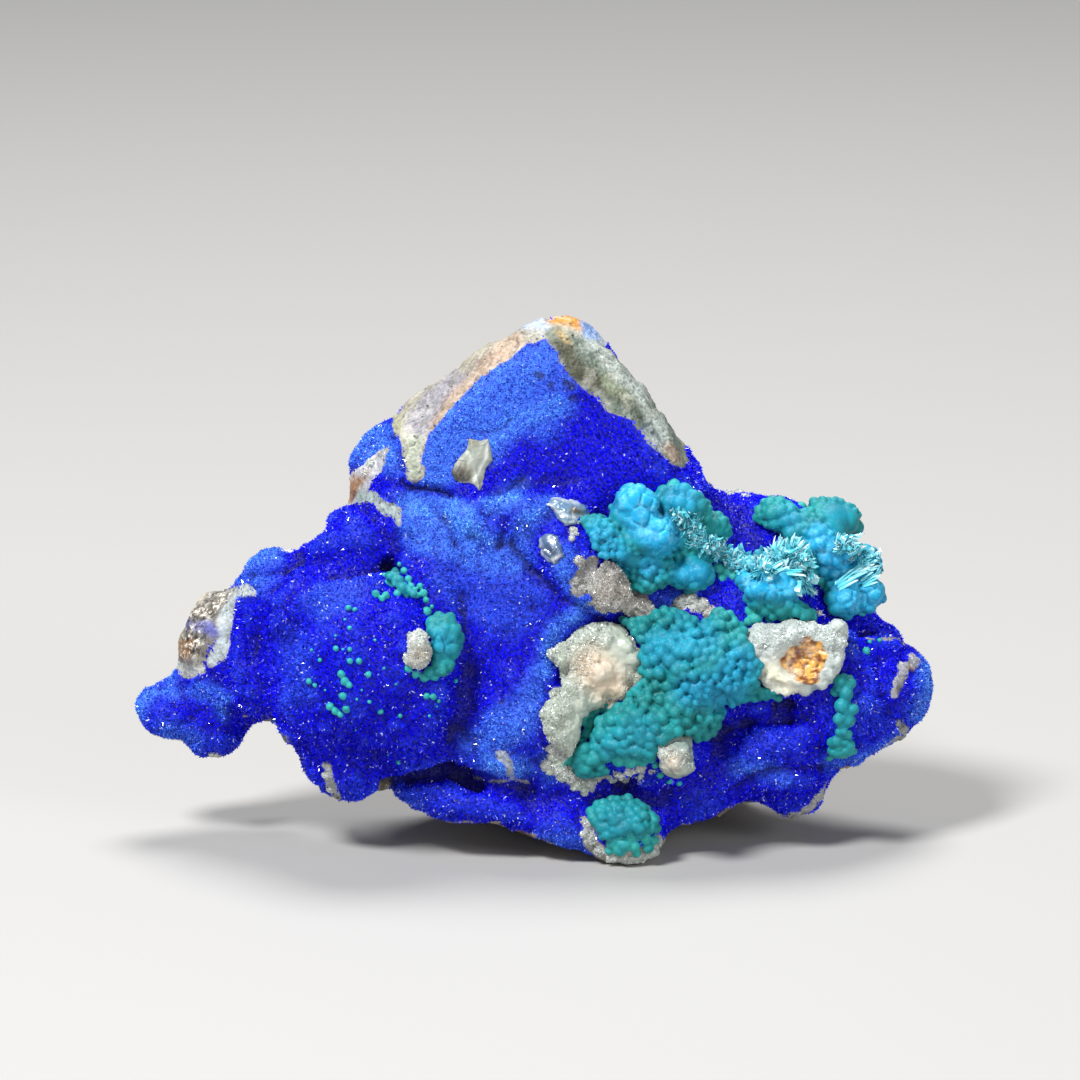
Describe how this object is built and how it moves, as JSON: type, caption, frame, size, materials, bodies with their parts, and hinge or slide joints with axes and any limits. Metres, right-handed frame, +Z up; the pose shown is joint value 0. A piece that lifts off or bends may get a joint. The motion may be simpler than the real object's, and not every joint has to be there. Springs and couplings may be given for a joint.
{
  "type": "mineral specimen",
  "caption": "Free-standing lump of rock coated in blue azurite druse, with a blunt peak, teal rosasite crusts and knobs, pale calcite and sprays of clear blades on its front.",
  "frame": {"origin": "on the ground, under the middle of the specimen's bounding box", "axes": "+Z up; +X along the specimen's length, to the right of someone who faces its crystal side; that side looks along -Y"},
  "size_m": [0.0972, 0.0362, 0.0632],
  "materials": {
    "azurite_rock": "fine sparkling blue druse over pale, iron-stained broken rock",
    "rosasite": "satin, velvety knobs, teal to pale turquoise",
    "calcite": "granular, slightly translucent, iron-stained in places",
    "clear_crystal": "clear to milky blades with bright faces"
  },
  "bodies": {
    "root": {"azurite_rock": "azurite_rock", "lower_rosasite": "rosasite", "upper_rosasite": "rosasite", "middle_rosasite": "rosasite", "right_rosasite": "rosasite", "foot_rosasite": "rosasite", "left_rosasite": "rosasite", "strip_rosasite": "rosasite", "sprig_rosasite": "rosasite", "hollow_boss": "calcite", "pale_calcite": "calcite", "calcite_stub": "calcite", "left_calcite": "calcite", "upper_calcite": "calcite", "upper_blades": "clear_crystal", "middle_blades": "clear_crystal", "right_blades": "clear_crystal", "window_crystal": "clear_crystal", "clear_crystal_upper": "clear_crystal", "clear_crystal_lower": "clear_crystal"}
  },
  "joints": []
}
